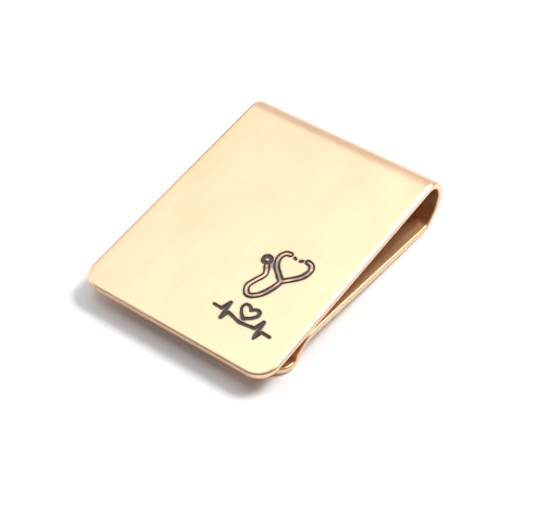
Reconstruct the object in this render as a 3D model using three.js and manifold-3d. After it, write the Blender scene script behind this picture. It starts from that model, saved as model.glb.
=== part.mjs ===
// Money clip: one strip of 16 gauge brass, polished on its outer face, stamped with two pictograms and
// bent over on itself. The strip is split at its functional regions, so that the front plate can spring
// open from the leg. Millimetres, +Z up. The clip lies on its elbow and its entry lip, with the front
// plate's free edge at -Y and the spring bend at +Y, and the origin at the bottom centre of its box.

import * as THREE from 'three';
import { mergeVertices } from 'three/addons/utils/BufferGeometryUtils.js';
import Module from 'manifold-3d';

const wasm = await Module();
wasm.setup();

// Driving dimensions of the strip
const sheetWidth = 38.1;
const sheetThickness = 1.3;
const plateLength = 47.3;
const bendRadius = 4.05;
const bendAngle = 144;
const heelLength = 2.05;
const elbowRadius = 2.5;
const elbowAngle = 48.4;
const legLength = 33.5;
const ridgeRadius = 4.6;
const ridgeAngle = 55.5;
const lipSlopeLength = 0.4;
const lipRadius = 2.2;
const lipAngle = 53;
const lipTipLength = 3.0;
const plateCornerRadius = 3.7;
const lipCornerRadius = 3.2;
const edgeRollWidth = 0.9;
const edgeRollDepth = 0.35;

// Gaps: between regions of one rigid body, and the slit that closes as the bend flexes
const seamGap = 0.06;
const flexGap = 0.14;

// Driving dimensions of the stamped marks
const grooveDepth = 0.3;
const patinaRecess = 0.06;
const patinaClearance = 0.02;
const strokeWidth = 0.6;
const tubeWidth = 1.1;
const tubeRibWidth = 0.4;
const chestPieceRadius = 1.1;
const chestPieceDotRadius = 0.3;
const stethoscopePlace = { x: 9.6, y: 17.4, turn: 3 };
const heartbeatPlace = { x: 8.9, y: 7.6, turn: -3 };

const halfWidth = sheetWidth / 2;
const halfThickness = sheetThickness / 2;
const radians = THREE.MathUtils.degToRad;

const brass = new THREE.MeshStandardMaterial({ color: 0xe3c08f, roughness: 0.34, metalness: 1.0 });
const patina = new THREE.MeshStandardMaterial({ color: 0x2f2a28, roughness: 0.75, metalness: 0.3 });

// The strip's centreline in the YZ plane, as stretches that follow each other from the plate's free
// edge. A positive turn lifts the heading, and a straight stretch has no turn.
const straight = (length) => ({ length, turn: 0 });
const bent = (radius, angle) => ({ length: radius * Math.abs(radians(angle)), radius, turn: radians(angle) });
const stretches = {
  plate: straight(plateLength),
  upperBend: bent(bendRadius, -bendAngle / 2),
  lowerBend: bent(bendRadius, -bendAngle / 2),
  heel: straight(heelLength),
  elbow: bent(elbowRadius, -elbowAngle),
  leg: straight(legLength),
  ridge: bent(ridgeRadius, ridgeAngle),
  lipSlope: straight(lipSlopeLength),
  lipCurl: bent(lipRadius, -lipAngle),
  lipTip: straight(lipTipLength),
};

// Gives each stretch the distance, point and heading that it starts from
function layOut(all) {
  let state = { distance: 0, y: 0, z: 0, heading: 0 };
  for (const stretch of Object.values(all)) {
    stretch.start = state;
    state = { distance: state.distance + stretch.length, ...pointOn(stretch, stretch.length) };
  }
  return state.distance;
}

// The centreline's point and heading at a distance along one stretch
function pointOn(stretch, along) {
  const { y, z, heading } = stretch.start;
  if (stretch.turn === 0) {
    return { y: y + along * Math.cos(heading), z: z + along * Math.sin(heading), heading };
  }
  const signedRadius = stretch.radius * Math.sign(stretch.turn);
  const turned = heading + along / signedRadius;
  return {
    y: y + signedRadius * (Math.sin(turned) - Math.sin(heading)),
    z: z - signedRadius * (Math.cos(turned) - Math.cos(heading)),
    heading: turned,
  };
}

const stripLength = layOut(stretches);
const startOf = (stretch) => stretch.start.distance;
const endOf = (stretch) => stretch.start.distance + stretch.length;

// The centreline's point and heading at a distance from the plate's free edge
function centreline(distance) {
  const all = Object.values(stretches);
  const last = all[all.length - 1];
  const stretch = all.find((each) => distance <= endOf(each)) ?? last;
  return pointOn(stretch, distance - startOf(stretch));
}

// The centreline between two distances, as a curve for an extrusion to follow
class StripCurve extends THREE.Curve {
  constructor(from, to) {
    super();
    this.from = from;
    this.to = to;
  }

  at(t) {
    return centreline(THREE.MathUtils.lerp(this.from, this.to, t));
  }

  getPoint(t, target = new THREE.Vector3()) {
    const { y, z } = this.at(t);
    return target.set(0, y, z);
  }

  getTangent(t, target = new THREE.Vector3()) {
    const { heading } = this.at(t);
    return target.set(0, Math.cos(heading), Math.sin(heading));
  }
}

// The quarter ellipse that rolls the outer face over into the strip's edge, from the edge inwards
function edgeRoll(steps) {
  return Array.from({ length: steps + 1 }, (_, step) => {
    const angle = (step / steps) * Math.PI / 2;
    return {
      inset: edgeRollWidth * (1 - Math.cos(angle)),
      drop: edgeRollDepth * (1 - Math.sin(angle)),
    };
  });
}

// The strip's cross-section: the inner face is flat, and the outer face rolls over at both edges
function stripSection() {
  const roll = edgeRoll(4);
  const right = roll.map(({ inset, drop }) => new THREE.Vector2(halfWidth - inset, halfThickness - drop));
  const left = right.map(({ x, y }) => new THREE.Vector2(-x, y)).reverse();
  const inner = [new THREE.Vector2(-halfWidth, -halfThickness), new THREE.Vector2(halfWidth, -halfThickness)];
  return new THREE.Shape([...inner, ...right, ...left]);
}

function stripGeometry(from, to, steps) {
  return new THREE.ExtrudeGeometry(stripSection(), { extrudePath: new StripCurve(from, to), steps });
}

// Conversions between three.js geometry and manifold-3d solids, for joins and cuts
function toSolid(geometry) {
  const bare = geometry.clone();
  bare.deleteAttribute('normal');
  bare.deleteAttribute('uv');
  const merged = mergeVertices(bare);
  return new wasm.Manifold(new wasm.Mesh({
    numProp: 3,
    vertProperties: new Float32Array(merged.attributes.position.array),
    triVerts: new Uint32Array(merged.index.array),
  }));
}

function toGeometry(solid) {
  const { vertProperties, triVerts } = solid.getMesh();
  const geometry = new THREE.BufferGeometry();
  geometry.setAttribute('position', new THREE.BufferAttribute(vertProperties, 3));
  geometry.setIndex(new THREE.BufferAttribute(triVerts, 1));
  return geometry;
}

const union = (solids) => solids.reduce((joined, solid) => joined.add(solid));

// Strokes of the stamped marks, in the plate's frame, with flat tops. A layer is a stroke's bottom and
// top height.
function rodSolid(x, y, radius, layer) {
  const height = layer.top - layer.bottom;
  const geometry = new THREE.CylinderGeometry(radius, radius, height, 20);
  geometry.rotateX(Math.PI / 2);
  geometry.translate(x, y, layer.bottom + height / 2);
  return toSolid(geometry);
}

function lineSolid(from, to, width, layer) {
  const height = layer.top - layer.bottom;
  const geometry = new THREE.BoxGeometry(from.distanceTo(to), width, height);
  geometry.rotateZ(Math.atan2(to.y - from.y, to.x - from.x));
  geometry.translate((from.x + to.x) / 2, (from.y + to.y) / 2, layer.bottom + height / 2);
  return toSolid(geometry);
}

function polylineSolid(points, width, layer) {
  const joints = points.map(({ x, y }) => rodSolid(x, y, width / 2, layer));
  const lines = points.slice(1).map((point, i) => lineSolid(points[i], point, width, layer));
  return union([...joints, ...lines]);
}

function curveSolid(points, width, layer, steps) {
  const height = layer.top - layer.bottom;
  const middle = layer.bottom + height / 2;
  const path = new THREE.CatmullRomCurve3(points.map(({ x, y }) => new THREE.Vector3(x, y, middle)));
  const section = new THREE.Shape([
    new THREE.Vector2(-height / 2, -width / 2),
    new THREE.Vector2(height / 2, -width / 2),
    new THREE.Vector2(height / 2, width / 2),
    new THREE.Vector2(-height / 2, width / 2),
  ]);
  const sweep = toSolid(new THREE.ExtrudeGeometry(section, { extrudePath: path, steps }));
  const ends = [points[0], points[points.length - 1]];
  return union([sweep, ...ends.map(({ x, y }) => rodSolid(x, y, width / 2, layer))]);
}

// Places a mark's points on the plate: x from the plate's middle, y from its free edge
function placed(points, place) {
  const turn = new THREE.Vector2();
  return points.map(([x, y]) => new THREE.Vector2(x, y).rotateAround(turn, radians(place.turn))
    .add(new THREE.Vector2(place.x, place.y)));
}

const mirrored = (points) => points.map(([x, y]) => [-x, y]);

// The stethoscope: a stem that loops up to the chest piece, and two yoke tubes that end at the ear tips
const stemPoints = [[0, 0], [-0.5, -1.9], [-1.6, -4.0], [-3.2, -4.9], [-4.3, -3.6], [-3.8, -1.8], [-3.1, 0.0],
  [-4.0, 1.95]];
const yokePoints = [[0, 0], [1.2, 1.1], [2.5, 2.5], [3.0, 4.2], [2.45, 5.4], [1.7, 5.6]];
const earTipPoints = [[0.72, 5.35], [0.42, 5.15]];
const chestPieceCentre = [[-4.5, 2.8]];
const yokes = [yokePoints, mirrored(yokePoints)];

function tubeSolid(width, layer) {
  const stem = curveSolid(placed(stemPoints, stethoscopePlace), width, layer, 40);
  const arms = yokes.map((points) => curveSolid(placed(points, stethoscopePlace), width, layer, 28));
  return union([stem, ...arms]);
}

function chestPieceDisc(radius, layer) {
  const [centre] = placed(chestPieceCentre, stethoscopePlace);
  return rodSolid(centre.x, centre.y, radius, layer);
}

// The tube is stamped as an outline: a groove with a rib of bare metal left standing along its middle.
// It ends at the chest piece's rim.
function tubeOutline(clearance, layer) {
  const groove = tubeSolid(tubeWidth - 2 * clearance, layer);
  const rib = tubeSolid(tubeRibWidth + 2 * clearance, tall(layer));
  return groove.subtract(rib).subtract(chestPieceDisc(chestPieceRadius + clearance, tall(layer)));
}

function chestPieceOutline(clearance, layer) {
  const dot = chestPieceDisc(chestPieceDotRadius + clearance, tall(layer));
  return chestPieceDisc(chestPieceRadius - clearance, layer).subtract(dot);
}

function earTipOutline(points, clearance, layer) {
  return polylineSolid(placed(points, stethoscopePlace), strokeWidth - 2 * clearance, layer);
}

// The heartbeat: a level trace with a spike on each side of a small heart
const tracePoints = [[-5.7, 0], [-4.2, 0], [-3.7, 1.8], [-3.1, -1.5], [-2.7, 0], [0, -0.5], [2.7, 0], [3.2, 1.8],
  [3.8, -1.6], [4.2, 0], [5.7, 0]];
const heartHalfPoints = [[0, 0.4], [1.1, 1.3], [1.65, 2.25], [1.3, 3.0], [0.6, 3.0], [0, 2.45]];
const heartHalves = [heartHalfPoints, mirrored(heartHalfPoints)];

function traceStroke(clearance, layer) {
  return polylineSolid(placed(tracePoints, heartbeatPlace), strokeWidth - 2 * clearance, layer);
}

function heartStroke(clearance, layer) {
  const width = strokeWidth - 2 * clearance;
  return union(heartHalves.map((points) => curveSolid(placed(points, heartbeatPlace), width, layer, 16)));
}

// A layer a little taller than another, for cutting cleanly through it
const tall = (layer) => ({ bottom: layer.bottom - 0.1, top: layer.top + 0.1 });

const grooveLayer = { bottom: halfThickness - grooveDepth, top: halfThickness + 0.2 };
const patinaLayer = {
  bottom: halfThickness - grooveDepth + patinaClearance,
  top: halfThickness - patinaRecess,
};

const marks = {
  stethoscope_tube_patina: tubeOutline,
  stethoscope_chest_piece_patina: chestPieceOutline,
  right_ear_tip_patina: (clearance, layer) => earTipOutline(earTipPoints, clearance, layer),
  left_ear_tip_patina: (clearance, layer) => earTipOutline(mirrored(earTipPoints), clearance, layer),
  heartbeat_trace_patina: traceStroke,
  heart_patina: heartStroke,
};

// The plate's outline, carried on past its back end, where a block then cuts it square
function plateOutline(overrun) {
  const back = plateLength + overrun;
  const corner = plateCornerRadius;
  const shape = new THREE.Shape();
  shape.moveTo(-halfWidth, back);
  shape.lineTo(-halfWidth, corner);
  shape.absarc(-halfWidth + corner, corner, corner, Math.PI, 1.5 * Math.PI);
  shape.lineTo(halfWidth - corner, 0);
  shape.absarc(halfWidth - corner, corner, corner, 1.5 * Math.PI, 2 * Math.PI);
  shape.lineTo(halfWidth, back);
  return shape;
}

function blockSolid(low, high) {
  const size = new THREE.Vector3().subVectors(high, low);
  const geometry = new THREE.BoxGeometry(size.x, size.y, size.z);
  const middle = new THREE.Vector3().addVectors(low, high).multiplyScalar(0.5);
  geometry.translate(middle.x, middle.y, middle.z);
  return toSolid(geometry);
}

function frontPlateGeometry() {
  const overrun = 3;
  const underrun = 0.5;
  const blank = new THREE.ExtrudeGeometry(plateOutline(overrun), {
    depth: sheetThickness - edgeRollDepth + underrun,
    bevelThickness: edgeRollDepth,
    bevelSize: edgeRollWidth,
    bevelOffset: -edgeRollWidth,
    bevelSegments: 4,
    curveSegments: 10,
  });
  blank.translate(0, 0, -halfThickness - underrun);
  const keep = blockSolid(
    new THREE.Vector3(-sheetWidth, -overrun, -halfThickness),
    new THREE.Vector3(sheetWidth, plateLength - seamGap / 2, sheetThickness),
  );
  const grooves = Object.values(marks).map((mark) => mark(0, grooveLayer));
  return toGeometry(toSolid(blank).intersect(keep).subtract(union(grooves)));
}

// The entry lip, with its two free corners rounded in plan
function entryLipGeometry(from, to) {
  const strip = toSolid(stripGeometry(from, to, 20));
  const tip = centreline(to);
  const corner = lipCornerRadius;
  const back = tip.y + 3 * corner;
  const shape = new THREE.Shape();
  shape.moveTo(-sheetWidth, back);
  shape.lineTo(-sheetWidth, tip.y + corner);
  shape.lineTo(-halfWidth, tip.y + corner);
  shape.absarc(-halfWidth + corner, tip.y + corner, corner, Math.PI, 1.5 * Math.PI);
  shape.lineTo(-halfWidth + corner, tip.y - corner);
  shape.lineTo(halfWidth - corner, tip.y - corner);
  shape.lineTo(halfWidth - corner, tip.y);
  shape.absarc(halfWidth - corner, tip.y + corner, corner, 1.5 * Math.PI, 2 * Math.PI);
  shape.lineTo(sheetWidth, tip.y + corner);
  shape.lineTo(sheetWidth, back);
  const depth = 4 * lipRadius;
  const cutter = new THREE.ExtrudeGeometry(shape, { depth, bevelEnabled: false, curveSegments: 10 });
  cutter.translate(0, 0, tip.z - depth / 2);
  return toGeometry(strip.intersect(toSolid(cutter)));
}

function part(name, geometry, material) {
  const mesh = new THREE.Mesh(geometry, material);
  mesh.name = name;
  return mesh;
}

// A region of the strip that keeps its full width, drawn in by its gap at each end
function stripRegion(name, first, last, steps, gapBefore, gapAfter) {
  const from = startOf(first) + gapBefore / 2;
  const to = endOf(last) - gapAfter / 2;
  return part(name, stripGeometry(from, to, steps), brass);
}

// The front plate with its half of the spring bend and the patina in its marks
function frontPlate() {
  const group = new THREE.Group();
  group.add(part('front_plate', frontPlateGeometry(), brass));
  group.add(stripRegion('spring_bend_upper', stretches.upperBend, stretches.upperBend, 14, seamGap, flexGap));
  for (const [name, mark] of Object.entries(marks)) {
    group.add(part(name, toGeometry(mark(patinaClearance, patinaLayer)), patina));
  }
  return group;
}

// The leg that the clip lies on, with the other half of the spring bend
function backLeg() {
  const { lowerBend, heel, elbow, leg, ridge, lipSlope } = stretches;
  const group = new THREE.Group();
  group.add(stripRegion('spring_bend_lower', lowerBend, lowerBend, 14, flexGap, seamGap));
  group.add(stripRegion('elbow', heel, elbow, 18, seamGap, seamGap));
  group.add(stripRegion('back_leg', leg, leg, 1, seamGap, seamGap));
  group.add(stripRegion('grip_ridge', ridge, ridge, 14, seamGap, seamGap));
  group.add(part('entry_lip', entryLipGeometry(startOf(lipSlope) + seamGap / 2, stripLength), brass));
  return group;
}

// The plate's slope when the clip lies on a table: the line under both the elbow and the lip, which are
// arcs about these centres, is level
function restingSlope() {
  const [elbow, lip] = [stretches.elbow, stretches.lipCurl].map(({ start, radius }) => ({
    centre: new THREE.Vector2(start.y + radius * Math.sin(start.heading), start.z - radius * Math.cos(start.heading)),
    outerRadius: radius + halfThickness,
  }));
  const span = new THREE.Vector2().subVectors(elbow.centre, lip.centre);
  const underside = Math.atan2(span.y, span.x) + Math.asin((lip.outerRadius - elbow.outerRadius) / span.length());
  return -underside;
}

const clip = new THREE.Group();
clip.add(frontPlate(), backLeg());
clip.rotation.x = restingSlope();

// The origin is the bottom centre of the resting clip's box
clip.updateMatrixWorld(true);
const box = new THREE.Box3().setFromObject(clip, true);
clip.position.set(0, -(box.min.y + box.max.y) / 2, -box.min.z);

export default clip;
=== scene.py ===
import math

import bmesh
import bpy
import numpy as np
from mathutils import Matrix, Quaternion, Vector
from mathutils.geometry import delaunay_2d_cdt


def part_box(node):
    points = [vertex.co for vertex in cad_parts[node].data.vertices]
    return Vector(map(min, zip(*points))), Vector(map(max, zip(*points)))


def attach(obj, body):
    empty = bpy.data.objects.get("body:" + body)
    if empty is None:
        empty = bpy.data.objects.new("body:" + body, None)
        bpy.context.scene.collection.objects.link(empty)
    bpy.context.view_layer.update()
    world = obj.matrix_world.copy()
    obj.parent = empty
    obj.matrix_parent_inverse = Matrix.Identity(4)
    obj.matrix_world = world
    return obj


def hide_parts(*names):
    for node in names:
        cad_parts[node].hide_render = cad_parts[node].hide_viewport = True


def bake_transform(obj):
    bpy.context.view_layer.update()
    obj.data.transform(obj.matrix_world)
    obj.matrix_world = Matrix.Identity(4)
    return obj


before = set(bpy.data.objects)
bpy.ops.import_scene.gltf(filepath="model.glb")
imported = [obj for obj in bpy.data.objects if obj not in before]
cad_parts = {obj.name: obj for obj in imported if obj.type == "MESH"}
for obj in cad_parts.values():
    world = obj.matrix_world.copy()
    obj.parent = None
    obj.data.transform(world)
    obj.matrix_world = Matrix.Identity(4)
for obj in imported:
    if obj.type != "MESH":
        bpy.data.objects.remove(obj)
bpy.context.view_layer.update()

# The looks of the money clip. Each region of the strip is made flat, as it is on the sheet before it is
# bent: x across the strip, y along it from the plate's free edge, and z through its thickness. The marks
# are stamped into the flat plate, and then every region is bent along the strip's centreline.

MM = 0.001

# Driving dimensions, the same as the CAD model's
SHEET_WIDTH = 38.1 * MM
SHEET_THICKNESS = 1.3 * MM
PLATE_LENGTH = 47.3 * MM
BEND_RADIUS = 4.05 * MM
BEND_ANGLE = math.radians(144)
HEEL_LENGTH = 2.05 * MM
ELBOW_RADIUS = 2.5 * MM
ELBOW_ANGLE = math.radians(48.4)
LEG_LENGTH = 33.5 * MM
RIDGE_RADIUS = 4.6 * MM
RIDGE_ANGLE = math.radians(55.5)
LIP_SLOPE_LENGTH = 0.4 * MM
LIP_RADIUS = 2.2 * MM
LIP_ANGLE = math.radians(53)
LIP_TIP_LENGTH = 3.0 * MM
PLATE_CORNER_RADIUS = 3.7 * MM
LIP_CORNER_RADIUS = 3.2 * MM

# Edges: the outer face rolls over widely, and the inner face's arris has a small radius
ROLL_WIDTH = 0.9 * MM
ROLL_DEPTH = 0.35 * MM
ROLL_STEPS = 10
ARRIS_RADIUS = 0.30 * MM
ARRIS_STEPS = 8
SUPPORT_INSET = 0.4 * MM

# Fineness of the curves
ARC_STEP = math.radians(2.5)
CORNER_STEPS = 24
SHARP_ANGLE = math.radians(40)

# The stamped marks. Each profile is a list of (distance outside the mark's outline, height above the face).
GROOVE_PROFILE = [
    (-0.030 * MM, -0.280 * MM),
    (-0.004 * MM, -0.090 * MM),
    (0.006 * MM, -0.042 * MM),
    (0.018 * MM, -0.018 * MM),
    (0.035 * MM, -0.006 * MM),
    (0.060 * MM, 0.0),
    (0.100 * MM, 0.0),
    (0.300 * MM, 0.0),
]
LINING_PROFILE = [
    (-0.250 * MM, -0.155 * MM),
    (-0.120 * MM, -0.150 * MM),
    (-0.070 * MM, -0.130 * MM),
    (-0.035 * MM, -0.095 * MM),
    (-0.006 * MM, -0.070 * MM),
]
LINING_LIP = 0.01 * MM
LINING_FLOOR = -0.265 * MM
LINING_FLOOR_REACH = -0.040 * MM
FIELD_STEP = 0.03 * MM
FIELD_REACH = 0.32 * MM
CONTOUR_SPACING = 0.07 * MM

# How near points are when they count as one: in the built meshes, in the CAD outlines, at a cut, and in
# the triangulation, which works in millimetres
SAME_POINT = 1e-6
SAME_CAD_POINT = 1e-7
ON_THE_CUT = 1e-8
SAME_CORNER = 1e-6

HALF_WIDTH = SHEET_WIDTH / 2
HALF_THICKNESS = SHEET_THICKNESS / 2

LEG_BODY = "back_leg_body"
PLATE_BODY = "front_plate_body"


# ---------------------------------------------------------------- the strip's centreline

def straight(length):
    return {"length": length, "radius": 0, "turn": 0}


def bent(radius, angle):
    return {"length": radius * abs(angle), "radius": radius, "turn": angle}


def point_on(stretch, along):
    """(y, z, heading) at a distance along one stretch of the centreline."""
    y, z, heading = stretch["start"]
    if stretch["turn"] == 0:
        return y + along * math.cos(heading), z + along * math.sin(heading), heading
    radius = math.copysign(stretch["radius"], stretch["turn"])
    turned = heading + along / radius
    y += radius * (math.sin(turned) - math.sin(heading))
    z -= radius * (math.cos(turned) - math.cos(heading))
    return y, z, turned


def lay_out(stretches):
    """Gives each stretch its start and its place along the strip, and returns the strip's length."""
    distance, start = 0, (0, 0, 0)
    for stretch in stretches.values():
        stretch["from"], stretch["start"] = distance, start
        distance += stretch["length"]
        stretch["to"] = distance
        start = point_on(stretch, stretch["length"])
    return distance


STRIP = {
    "plate": straight(PLATE_LENGTH),
    "bend": bent(BEND_RADIUS, -BEND_ANGLE),
    "heel": straight(HEEL_LENGTH),
    "elbow": bent(ELBOW_RADIUS, -ELBOW_ANGLE),
    "leg": straight(LEG_LENGTH),
    "ridge": bent(RIDGE_RADIUS, RIDGE_ANGLE),
    "lip_slope": straight(LIP_SLOPE_LENGTH),
    "lip_curl": bent(LIP_RADIUS, -LIP_ANGLE),
    "lip_tip": straight(LIP_TIP_LENGTH),
}
STRIP_LENGTH = lay_out(STRIP)


def centreline(distance):
    for stretch in STRIP.values():
        if distance <= stretch["to"]:
            break
    return point_on(stretch, distance - stretch["from"])


def resting_slope():
    """The plate's slope as the clip lies: the line under both the elbow and the lip is level."""
    centres, radii = [], []
    for name in ("elbow", "lip_curl"):
        y, z, heading = STRIP[name]["start"]
        radius = STRIP[name]["radius"]
        centres.append(Vector((y + radius * math.sin(heading), z - radius * math.cos(heading))))
        radii.append(radius + HALF_THICKNESS)
    span = centres[0] - centres[1]
    return -math.atan2(span.y, span.x) - math.asin((radii[1] - radii[0]) / span.length)


SLOPE = resting_slope()
TILT = Matrix.Rotation(SLOPE, 4, "X")


def resting_place():
    """Where the plate's free edge is in the shared frame, from the CAD plate's own box."""
    low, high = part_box("front_plate")
    foremost = TILT @ Vector((0, 0, HALF_THICKNESS - ROLL_DEPTH))
    bottom = TILT @ Vector((0, 0, -HALF_THICKNESS))
    return Matrix.Translation((0, low.y - min(foremost.y, bottom.y), low.z - bottom.z))


PLACE = resting_place() @ TILT


def bend_point(flat):
    """Where a point of the flat strip goes when the strip is bent and laid down."""
    y, z, heading = centreline(flat.y)
    return PLACE @ Vector((flat.x, y - flat.z * math.sin(heading), z + flat.z * math.cos(heading)))


# ---------------------------------------------------------------- the flat strip

def edge_profile():
    """(inset, height) round the strip's edge, from the inner face to the outer face."""
    profile = [(ARRIS_RADIUS + SUPPORT_INSET, -HALF_THICKNESS)]
    for step in range(ARRIS_STEPS + 1):
        angle = math.pi / 2 * step / ARRIS_STEPS
        inset = ARRIS_RADIUS * (1 - math.sin(angle))
        profile.append((inset, -HALF_THICKNESS + ARRIS_RADIUS * (1 - math.cos(angle))))
    for step in range(ROLL_STEPS + 1):
        angle = math.pi / 2 * step / ROLL_STEPS
        inset = ROLL_WIDTH * (1 - math.cos(angle))
        profile.append((inset, HALF_THICKNESS - ROLL_DEPTH * (1 - math.sin(angle))))
    profile.append((ROLL_WIDTH + SUPPORT_INSET, HALF_THICKNESS))
    return profile


def loft(rings, closed):
    """A mesh skinned over rings of points. The first and last rings are capped, and an open ring gets a face
    across its ends."""
    mesh = bmesh.new()
    rows = [[mesh.verts.new(point) for point in ring] for ring in rings]
    count = len(rows[0])
    spans = range(count) if closed else range(count - 1)
    for before, after in zip(rows, rows[1:]):
        for i in spans:
            j = (i + 1) % count
            mesh.faces.new((before[i], before[j], after[j], after[i]))
    mesh.faces.new(rows[0])
    mesh.faces.new(rows[-1])
    if not closed:
        mesh.faces.new([row[0] for row in rows] + [row[-1] for row in reversed(rows)])
    bmesh.ops.recalc_face_normals(mesh, faces=mesh.faces)
    return mesh


def full_width_blank(start, end):
    """A flat region that keeps the strip's full width."""
    right = [Vector((HALF_WIDTH - inset, height)) for inset, height in edge_profile()]
    section = right + [Vector((-point.x, point.y)) for point in reversed(right)]
    return loft([[(p.x, y, p.y) for p in section] for y in (start, end)], closed=True)


def free_end_blank(joint, tip, corner):
    """A flat region from a joint to a free end, with rounded corners and its edge rolled all round."""
    way = math.copysign(1, joint - tip)
    centre_y = tip + way * corner
    outline = [(Vector((-HALF_WIDTH, joint)), Vector((1, 0)))]
    for side, turns in ((-1, range(CORNER_STEPS + 1)), (1, range(CORNER_STEPS, -1, -1))):
        centre = Vector((side * (HALF_WIDTH - corner), centre_y))
        for step in turns:
            angle = math.pi / 2 * step / CORNER_STEPS
            outward = Vector((side * math.cos(angle), -way * math.sin(angle)))
            outline.append((centre + corner * outward, -outward))
    outline.append((Vector((HALF_WIDTH, joint)), Vector((-1, 0))))
    rings = []
    for inset, height in edge_profile():
        flat = [point + inset * inward for point, inward in outline]
        rings.append([(p.x, p.y, height) for p in flat])
    return loft(rings, closed=False)


def slice_along(mesh, start, end):
    """Cuts a flat region across wherever the strip's centreline turns, so that it can bend smoothly."""
    cuts = set()
    for stretch in STRIP.values():
        steps = max(1, round(abs(stretch["turn"]) / ARC_STEP))
        cuts.update(stretch["from"] + stretch["length"] * i / steps for i in range(steps + 1))
    for y in sorted(cuts):
        if start + SAME_POINT < y < end - SAME_POINT:
            everything = mesh.verts[:] + mesh.edges[:] + mesh.faces[:]
            bmesh.ops.bisect_plane(
                mesh, geom=everything, dist=ON_THE_CUT, plane_co=(0, y, 0), plane_no=(0, 1, 0))


def add_object(name, mesh):
    data = bpy.data.meshes.new(name)
    mesh.to_mesh(data)
    mesh.free()
    piece = bpy.data.objects.new(name, data)
    bpy.context.scene.collection.objects.link(piece)
    return piece


def remember_flat_place(piece):
    """Keeps each point's place on the flat strip, in millimetres, for the materials' grain and stains, and
    for the painted shade on the inner face.
    """
    data = piece.data
    flat = data.attributes.new("flat", "FLOAT_VECTOR", "POINT")
    flat.data.foreach_set("vector", [c / MM for v in data.vertices for c in v.co])
    grain = data.uv_layers.new(name="grain")
    for loop in data.loops:
        place = data.vertices[loop.vertex_index].co
        grain.data[loop.index].uv = (place.x / STRIP_LENGTH + 0.5, place.y / STRIP_LENGTH)


def finish_piece(piece, material):
    """Bends a flat piece into place and shades it smooth, but for its true corners."""
    remember_flat_place(piece)
    for vertex in piece.data.vertices:
        vertex.co = bend_point(vertex.co)
    piece.data.shade_smooth()
    piece.data.set_sharp_from_angle(angle=SHARP_ANGLE)
    piece.data.materials.append(material)
    return piece


# ---------------------------------------------------------------- the stamped marks

def mark_outline(node):
    """The edges round the top of a mark's CAD solid, laid back onto the flat plate."""
    mesh = bmesh.new()
    mesh.from_mesh(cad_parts[node].data)
    bmesh.ops.transform(mesh, matrix=PLACE.inverted(), verts=mesh.verts)
    bmesh.ops.remove_doubles(mesh, verts=mesh.verts, dist=SAME_CAD_POINT)
    mesh.normal_update()
    outline = []
    for edge in mesh.edges:
        tops = [face for face in edge.link_faces if face.normal.z > 0.9]
        if len(tops) == 1:
            outline.append([vertex.co.xy for vertex in edge.verts])
    mesh.free()
    return outline


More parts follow.
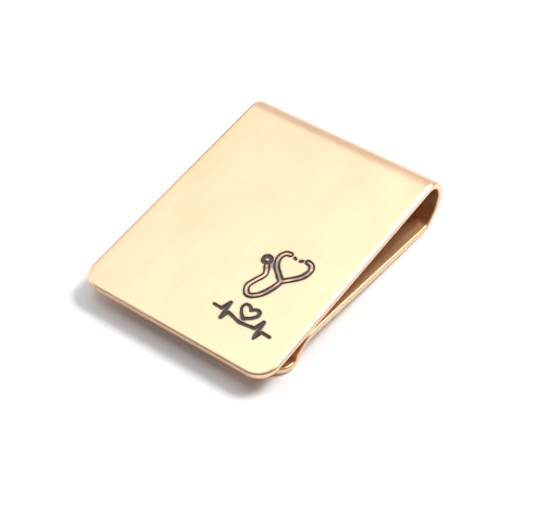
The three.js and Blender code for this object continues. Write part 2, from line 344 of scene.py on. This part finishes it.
class DistanceField:
    """The distance to an outline, sampled on a grid: above zero outside the outline and below zero inside."""

    def __init__(self, outline):
        points = np.array([point for edge in outline for point in edge])
        margin = FIELD_REACH + 2 * FIELD_STEP
        self.low = points.min(axis=0) - margin
        columns, rows = np.ceil((points.max(axis=0) + margin - self.low) / FIELD_STEP).astype(int) + 1
        self.x = self.low[0] + FIELD_STEP * np.arange(columns)
        self.y = self.low[1] + FIELD_STEP * np.arange(rows)
        distance = np.full((rows, columns), FIELD_REACH)
        inside = np.zeros((rows, columns), bool)
        for start, end in outline:
            self.measure(distance, start, end)
            self.cross(inside, start, end)
        self.value = np.where(inside, -distance, distance)

    def measure(self, distance, start, end):
        """Lowers the distances near one edge of the outline."""
        near_x = (self.x > min(start.x, end.x) - FIELD_REACH) & (self.x < max(start.x, end.x) + FIELD_REACH)
        near_y = (self.y > min(start.y, end.y) - FIELD_REACH) & (self.y < max(start.y, end.y) + FIELD_REACH)
        x, y = np.meshgrid(self.x[near_x] - start.x, self.y[near_y] - start.y)
        along = end - start
        share = np.clip((x * along.x + y * along.y) / along.length_squared, 0, 1)
        gap = np.hypot(x - share * along.x, y - share * along.y)
        window = np.ix_(near_y, near_x)
        distance[window] = np.minimum(distance[window], gap)

    def cross(self, inside, start, end):
        """Swaps inside and outside for every grid point to the right of one edge."""
        rows = (self.y > min(start.y, end.y)) & (self.y <= max(start.y, end.y))
        for row in np.flatnonzero(rows):
            share = (self.y[row] - start.y) / (end.y - start.y)
            inside[row] ^= self.x > start.x + share * (end.x - start.x)

    def at(self, point):
        """The distance at any point, blended between the four grid points round it."""
        column, row = (point.x - self.low[0]) / FIELD_STEP, (point.y - self.low[1]) / FIELD_STEP
        rows, columns = self.value.shape
        if not (0 <= column < columns - 1 and 0 <= row < rows - 1):
            return FIELD_REACH
        i, j = int(column), int(row)
        u, v = column - i, row - j
        near, far = self.value[j], self.value[j + 1]
        return (near[i] * (1 - u) + near[i + 1] * u) * (1 - v) + (far[i] * (1 - u) + far[i + 1] * u) * v

    def contours(self, level):
        """The closed loops of points at one distance from the outline."""
        above = self.value > level
        count = above[:-1, :-1].astype(int) + above[1:, :-1] + above[:-1, 1:] + above[1:, 1:]
        following = {}
        for row, column in zip(*np.nonzero((count > 0) & (count < 4))):
            corners = [(row, column), (row, column + 1), (row + 1, column + 1), (row + 1, column)]
            sides = list(zip(corners, corners[1:] + corners[:1]))
            leaving = [i for i, (a, b) in enumerate(sides) if above[a] and not above[b]]
            for i in leaving:
                step = next(k for k in range(1, 4) if above[sides[(i + k) % 4][1]])
                a, b = sides[(i + step) % 4]
                following[sides[i]] = (b, a)
        loops = []
        while following:
            first, side = following.popitem()
            loop = [self.crossing(first, level)]
            while side != first:
                loop.append(self.crossing(side, level))
                side = following.pop(side)
            loops.append(thinned(loop))
        return [loop for loop in loops if len(loop) > 2]

    def crossing(self, side, level):
        """Where the distance along one side of a grid square takes a level."""
        (row_a, column_a), (row_b, column_b) = side
        a, b = self.value[row_a, column_a], self.value[row_b, column_b]
        share = (level - a) / (b - a)
        column = column_a + share * (column_b - column_a)
        row = row_a + share * (row_b - row_a)
        return Vector((self.low[0] + FIELD_STEP * column, self.low[1] + FIELD_STEP * row))


def thinned(loop):
    """Leaves out the points of a loop that are closer together than is needed."""
    kept = [loop[0]]
    for point in loop[1:]:
        if (point - kept[-1]).length > CONTOUR_SPACING:
            kept.append(point)
    return kept


def turns_left(loop):
    return sum(a.cross(b) for a, b in zip(loop, loop[1:] + loop[:1])) > 0


def triangulated(loops):
    """The triangles over a set of loops, out to their convex hull: the points, the triangles as triples of
    point numbers, and for each triangle the numbers of the loops that it is inside."""
    points, rings = [], []
    for loop in loops:
        ring = list(range(len(points), len(points) + len(loop)))
        rings.append(ring if turns_left(loop) else ring[::-1])
        points += [point / MM for point in loop]
    points, _, triangles, _, _, within = delaunay_2d_cdt(points, [], rings, 0, SAME_CORNER)
    return [Vector(point) * MM for point in points], triangles, within


def remember_mark(piece, field):
    """Keeps how near each point is to a mark: 1 at its outline, more inside, 0 or less out of reach."""
    closeness = [1 - field.at(vertex.co) / FIELD_REACH for vertex in piece.data.vertices]
    piece.data.attributes.new("mark", "FLOAT", "POINT").data.foreach_set("value", closeness)


def height_in(profile, distance):
    return float(np.interp(distance, *zip(*profile)))


def pressed_face(boundary, field):
    """The plate's outer face inside a boundary, with the grooves of the marks pressed into it."""
    loops = [boundary]
    for distance, _ in GROOVE_PROFILE:
        loops += field.contours(distance)
    points, triangles, _ = triangulated(loops)
    mesh = bmesh.new()
    for point in points:
        mesh.verts.new((*point, HALF_THICKNESS + height_in(GROOVE_PROFILE, field.at(point))))
    mesh.verts.ensure_lookup_table()
    for triangle in triangles:
        mesh.faces.new([mesh.verts[i] for i in triangle])
    return mesh


def lining(node, material):
    """The patina in one mark's groove: it climbs a little up the walls and lies lower along the middle."""
    field = DistanceField(mark_outline(node))
    rim, rim_height = LINING_PROFILE[-1]
    floor_profile = [(LINING_FLOOR_REACH, LINING_FLOOR), (rim, rim_height - LINING_LIP)]
    rims = field.contours(rim)
    loops = list(rims)
    for distance, _ in LINING_PROFILE[:-1]:
        loops += field.contours(distance)
    points, triangles, within = triangulated(loops)
    inside = [t for t, rings in zip(triangles, within) if sum(ring < len(rims) for ring in rings) % 2]
    mesh = bmesh.new()
    tops, floors = [], []
    for point in points:
        distance = min(field.at(point), rim)
        tops.append(mesh.verts.new((*point, HALF_THICKNESS + height_in(LINING_PROFILE, distance))))
        floors.append(mesh.verts.new((*point, HALF_THICKNESS + height_in(floor_profile, distance))))
    sides = set()
    for triangle in inside:
        mesh.faces.new([tops[i] for i in triangle])
        mesh.faces.new([floors[i] for i in reversed(triangle)])
        sides.update((triangle[i], triangle[(i + 1) % 3]) for i in range(3))
    for a, b in sorted(sides):
        if (b, a) not in sides:
            mesh.faces.new((tops[b], tops[a], floors[a], floors[b]))
    bmesh.ops.delete(mesh, geom=[vertex for vertex in mesh.verts if not vertex.link_faces], context="VERTS")
    piece = add_object(node.replace("_patina", "_lining"), mesh)
    remember_mark(piece, field)
    finish_piece(piece, material)
    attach(piece, PLATE_BODY)
    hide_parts(node)


# ---------------------------------------------------------------- materials

BRASS_WARM = (0.86, 0.582, 0.374)
BRASS_PALE = (0.90, 0.632, 0.422)
BRASS_STREAK = (0.83, 0.53, 0.33)
# Painted shade: a darker, browner brass for the inner face, which lies in the shade inside the clip
BRASS_INNER_FACE_SHADE = (0.78, 0.46, 0.24)
PATINA_RESIDUE = (0.15, 0.13, 0.13)
PATINA_DARK = (0.020, 0.012, 0.009)
PATINA_GREY_MIDDLE = (0.075, 0.066, 0.062)
PAPER = (0.90, 0.90, 0.90)
PAPER_PALE = (0.92, 0.92, 0.92)


class Nodes:
    """Short calls for building a material's node tree."""

    def __init__(self, name):
        self.material = bpy.data.materials.new(name)
        self.material.use_nodes = True
        self.tree = self.material.node_tree
        self.shader = self.tree.nodes["Principled BSDF"]

    def add(self, kind, **settings):
        node = self.tree.nodes.new("ShaderNode" + kind)
        for name, value in settings.items():
            setattr(node, name, value)
        return node

    def link(self, source, target):
        self.tree.links.new(source, target)

    def number(self, operation, first, second):
        """A sum or product of two values, each a number or a socket."""
        node = self.add("Math", operation=operation)
        for socket, value in zip(node.inputs, (first, second)):
            if isinstance(value, (int, float)):
                socket.default_value = value
            else:
                self.link(value, socket)
        return node.outputs[0]

    def stretched_noise(self, place, scale, detail, roughness=0.5):
        """Noise with a scale of its own along each axis, in waves per unit of the place."""
        mapping = self.add("Mapping")
        mapping.inputs["Scale"].default_value = scale
        self.link(place, mapping.inputs["Vector"])
        noise = self.add("TexNoise")
        noise.inputs["Scale"].default_value = 1.0
        noise.inputs["Detail"].default_value = detail
        noise.inputs["Roughness"].default_value = roughness
        self.link(mapping.outputs["Vector"], noise.inputs["Vector"])
        return noise.outputs["Fac"]

    def spread(self, value, low, high, out_low, out_high):
        """Maps the range from low to high onto another range, and holds values beyond it at its ends."""
        node = self.add("MapRange", clamp=True)
        for name, number in zip(("From Min", "From Max", "To Min", "To Max"), (low, high, out_low, out_high)):
            node.inputs[name].default_value = number
        self.link(value, node.inputs["Value"])
        return node.outputs["Result"]

    def mix_colour(self, share, first, second):
        """Mixes two colours, each a tuple or a socket. The colours are inputs 6 and 7 and output 2."""
        node = self.add("Mix", data_type="RGBA")
        self.link(share, node.inputs["Factor"])
        for socket, value in ((node.inputs[6], first), (node.inputs[7], second)):
            if isinstance(value, tuple):
                socket.default_value = (*value, 1)
            else:
                self.link(value, socket)
        return node.outputs[2]

    def bump(self, height, strength, distance):
        node = self.add("Bump")
        node.inputs["Strength"].default_value = strength
        node.inputs["Distance"].default_value = distance
        self.link(height, node.inputs["Height"])
        return node.outputs["Normal"]


def brushed_brass():
    """Warm gold brass, satin brushed along the strip and clouded from handling, with a grey residue of
    patina that keeps to the narrow places in and beside the marks."""
    make = Nodes("brushed_brass")
    flat = make.add("Attribute", attribute_name="flat").outputs["Vector"]
    mark = make.add("Attribute", attribute_name="mark").outputs["Fac"]
    clouds = make.stretched_noise(flat, (0.11, 0.07, 0.1), detail=4)
    streaks = make.stretched_noise(flat, (2.0, 0.06, 2.0), detail=4, roughness=0.6)
    grain = make.stretched_noise(flat, (9.0, 0.2, 9.0), detail=2)
    smudges = make.stretched_noise(flat, (0.45, 0.45, 0.45), detail=2)

    tone = make.mix_colour(make.spread(clouds, 0.35, 0.65, 0.0, 1.0), BRASS_WARM, BRASS_PALE)
    tone = make.mix_colour(make.spread(streaks, 0.35, 0.7, 0.0, 0.3), tone, BRASS_STREAK)
    # Painted shade: the inner face, in the shade inside the clip, is darkened to a browner brass
    height = make.add("SeparateXYZ")
    make.link(flat, height.inputs["Vector"])
    inner = make.spread(height.outputs["Z"], -0.3, -0.6, 0.0, 1.0)
    tone = make.mix_colour(inner, tone, BRASS_INNER_FACE_SHADE)
    beside_mark = make.spread(mark, 0.05, 0.8, 0.0, 1.0)
    unwiped = make.spread(smudges, 0.42, 0.6, 0.9, 0.25)
    residue = make.number("MULTIPLY", beside_mark, unwiped)
    make.link(make.mix_colour(residue, tone, PATINA_RESIDUE), make.shader.inputs["Base Color"])

    streaked = make.spread(streaks, 0.3, 0.7, 0.33, 0.39)
    clouded = make.spread(clouds, 0.3, 0.7, -0.02, 0.03)
    rough = make.number("ADD", streaked, clouded)
    rough = make.number("ADD", rough, make.number("MULTIPLY", residue, 0.2))
    make.link(rough, make.shader.inputs["Roughness"])

    lines = make.number("ADD", streaks, make.number("MULTIPLY", grain, 0.5))
    make.link(make.bump(lines, strength=0.1, distance=0.01 * MM), make.shader.inputs["Normal"])

    tangent = make.add("Tangent", direction_type="UV_MAP", uv_map="grain")
    make.link(tangent.outputs["Tangent"], make.shader.inputs["Tangent"])
    make.shader.inputs["Metallic"].default_value = 1.0
    make.shader.inputs["Anisotropic"].default_value = 0.3
    return make.material


def patina_black():
    """Matt brown-black oxide, greyer along the middle of each stroke."""
    make = Nodes("patina_black")
    flat = make.add("Attribute", attribute_name="flat").outputs["Vector"]
    mark = make.add("Attribute", attribute_name="mark").outputs["Fac"]
    blotches = make.stretched_noise(flat, (0.9, 0.9, 0.9), detail=3)
    specks = make.stretched_noise(flat, (9.0, 9.0, 9.0), detail=2)
    stroke_middle = make.spread(mark, 1.1, 1.6, 0.0, 1.0)
    unevenly = make.spread(blotches, 0.3, 0.7, 0.5, 1.0)
    greyer_middle = make.number("MULTIPLY", stroke_middle, unevenly)
    make.link(make.mix_colour(greyer_middle, PATINA_DARK, PATINA_GREY_MIDDLE), make.shader.inputs["Base Color"])
    make.link(make.spread(blotches, 0.3, 0.7, 0.45, 0.65), make.shader.inputs["Roughness"])
    make.link(make.bump(specks, strength=0.4, distance=0.02 * MM), make.shader.inputs["Normal"])
    make.shader.inputs["Metallic"].default_value = 0.3
    return make.material


def white_paper():
    """Plain matt paper with faint fibres, for the floor."""
    make = Nodes("white_paper")
    place = make.add("TexCoord").outputs["Object"]
    fibres = make.stretched_noise(place, (400, 400, 400), detail=3)
    tone = make.mix_colour(make.spread(fibres, 0.3, 0.7, 0.0, 1.0), PAPER, PAPER_PALE)
    make.link(tone, make.shader.inputs["Base Color"])
    make.shader.inputs["Roughness"].default_value = 0.9
    return make.material


# ---------------------------------------------------------------- the pieces

MARKS = [
    "stethoscope_tube_patina",
    "stethoscope_chest_piece_patina",
    "right_ear_tip_patina",
    "left_ear_tip_patina",
    "heartbeat_trace_patina",
    "heart_patina",
]

# Each region's border lies in a straight stretch, so that neighbouring regions meet without a seam
BORDER = 1.0 * MM
PLATE_END = STRIP["plate"]["to"] - BORDER
BEND_END = (STRIP["heel"]["from"] + STRIP["heel"]["to"]) / 2
ELBOW_END = STRIP["leg"]["from"] + BORDER
LEG_END = STRIP["leg"]["to"] - BORDER
RIDGE_END = (STRIP["lip_slope"]["from"] + STRIP["lip_slope"]["to"]) / 2


def front_plate(material):
    """The plate's blank, with its plain outer face taken off and the pressed one put in its place."""
    field = DistanceField([edge for node in MARKS for edge in mark_outline(node)])
    mesh = free_end_blank(PLATE_END, 0, PLATE_CORNER_RADIUS)
    plain = max(mesh.faces, key=lambda face: (len(face.verts) > 4, face.calc_center_median().z))
    boundary = [vertex.co.xy for vertex in plain.verts]
    mesh.faces.remove(plain)
    pressed = bpy.data.meshes.new("pressed")
    pressed_face(boundary, field).to_mesh(pressed)
    mesh.from_mesh(pressed)
    bmesh.ops.remove_doubles(mesh, verts=mesh.verts, dist=SAME_POINT)
    bmesh.ops.recalc_face_normals(mesh, faces=mesh.faces)
    plate = add_object("front_plate_sheet", mesh)
    remember_mark(plate, field)
    finish_piece(plate, material)
    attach(plate, PLATE_BODY)
    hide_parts("front_plate")


def full_width_piece(name, start, end, material):
    mesh = full_width_blank(start, end)
    slice_along(mesh, start, end)
    return finish_piece(add_object(name, mesh), material)


def spring_bend(material):
    """The C-bend, as one piece baked in its resting place."""
    piece = full_width_piece("spring_bend_sheet", PLATE_END, BEND_END, material)
    bend = STRIP["bend"]
    at_plate = bend_point(Vector((0, bend["from"], 0)))
    at_heel = bend_point(Vector((0, bend["to"], 0)))
    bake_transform(piece)
    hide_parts("spring_bend_upper", "spring_bend_lower")


def leg_piece(name, node, start, end, material):
    piece = full_width_piece(name, start, end, material)
    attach(piece, LEG_BODY)
    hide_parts(node)


def entry_lip(material):
    mesh = free_end_blank(RIDGE_END, STRIP_LENGTH, LIP_CORNER_RADIUS)
    slice_along(mesh, RIDGE_END, STRIP_LENGTH)
    piece = finish_piece(add_object("entry_lip_sheet", mesh), material)
    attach(piece, LEG_BODY)
    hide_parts("entry_lip")


def clip():
    brass = brushed_brass()
    patina = patina_black()
    for node in MARKS:
        lining(node, patina)
    front_plate(brass)
    spring_bend(brass)
    leg_piece("elbow_sheet", "elbow", BEND_END, ELBOW_END, brass)
    leg_piece("back_leg_sheet", "back_leg", ELBOW_END, LEG_END, brass)
    leg_piece("grip_ridge_sheet", "grip_ridge", LEG_END, RIDGE_END, brass)
    entry_lip(brass)


# ---------------------------------------------------------------- the studio

LENS = 96.7
SENSOR_WIDTH = 36.0
CAMERA_TARGET = Vector((3.36, -4.35, 5.0)) * MM
CAMERA_AZIMUTH = 36.18
CAMERA_ELEVATION = 44.23
CAMERA_DISTANCE = 238.4 * MM
CAMERA_ROLL = math.radians(0.45)

FLOOR_HALF_SIZE = 1.5
BACKDROP_STRENGTH = 0.1
LIGHT_DISTANCE = 0.6

# Each softbox's azimuth and elevation in degrees, its width and height in metres, and its radiance
SOFTBOXES = {
    "key": (150, 49, 0.26, 0.26, 19.5),
    "overhead": (250, 69, 0.5, 0.4, 1.82),
    "zenith": (0, 82, 0.4, 0.2, 0.6),
    "back_wall": (215, 25, 0.9, 0.58, 0.6),
    "left_wall": (285, 24, 0.6, 0.45, 1.5),
    "front_wall": (36, 12, 0.9, 0.22, 1.0),
}


def direction(azimuth, elevation):
    """A unit vector towards an azimuth, with 0 at -Y and 90 at +X, and an elevation, in degrees."""
    a, e = math.radians(azimuth), math.radians(elevation)
    return Vector((math.sin(a) * math.cos(e), -math.cos(a) * math.cos(e), math.sin(e)))


def camera():
    data = bpy.data.cameras.new("camera")
    data.lens = LENS
    data.sensor_width = SENSOR_WIDTH
    data.clip_start, data.clip_end = 0.01, 10
    back = direction(CAMERA_AZIMUTH, CAMERA_ELEVATION)
    roll = Quaternion((0, 0, 1), CAMERA_ROLL)
    eye = bpy.data.objects.new("camera", data)
    eye.location = CAMERA_TARGET + back * CAMERA_DISTANCE
    eye.rotation_mode = "QUATERNION"
    eye.rotation_quaternion = (-back).to_track_quat("-Z", "Y") @ roll
    bpy.context.scene.collection.objects.link(eye)
    bpy.context.scene.camera = eye


def floor():
    mesh = bmesh.new()
    bmesh.ops.create_grid(mesh, x_segments=1, y_segments=1, size=FLOOR_HALF_SIZE)
    sheet = add_object("floor", mesh)
    sheet.data.materials.append(white_paper())


def softbox(name, azimuth, elevation, width, height, radiance):
    """A soft light that faces the clip. The radiance is how bright its face looks, with white at 1."""
    data = bpy.data.lights.new(name, "AREA")
    data.shape = "RECTANGLE"
    data.size, data.size_y = width, height
    data.energy = radiance * math.pi * width * height
    light = bpy.data.objects.new(name, data)
    towards = direction(azimuth, elevation)
    light.location = towards * LIGHT_DISTANCE
    light.rotation_mode = "QUATERNION"
    light.rotation_quaternion = towards.to_track_quat("Z", "Y")
    bpy.context.scene.collection.objects.link(light)


def studio():
    floor()
    world = bpy.data.worlds.new("studio")
    world.use_nodes = True
    backdrop = world.node_tree.nodes["Background"]
    backdrop.inputs["Color"].default_value = (1, 1, 1, 1)
    backdrop.inputs["Strength"].default_value = BACKDROP_STRENGTH
    bpy.context.scene.world = world
    for name, settings in SOFTBOXES.items():
        softbox(name, *settings)
    bpy.context.scene.view_settings.view_transform = "Standard"


camera()
clip()
studio()
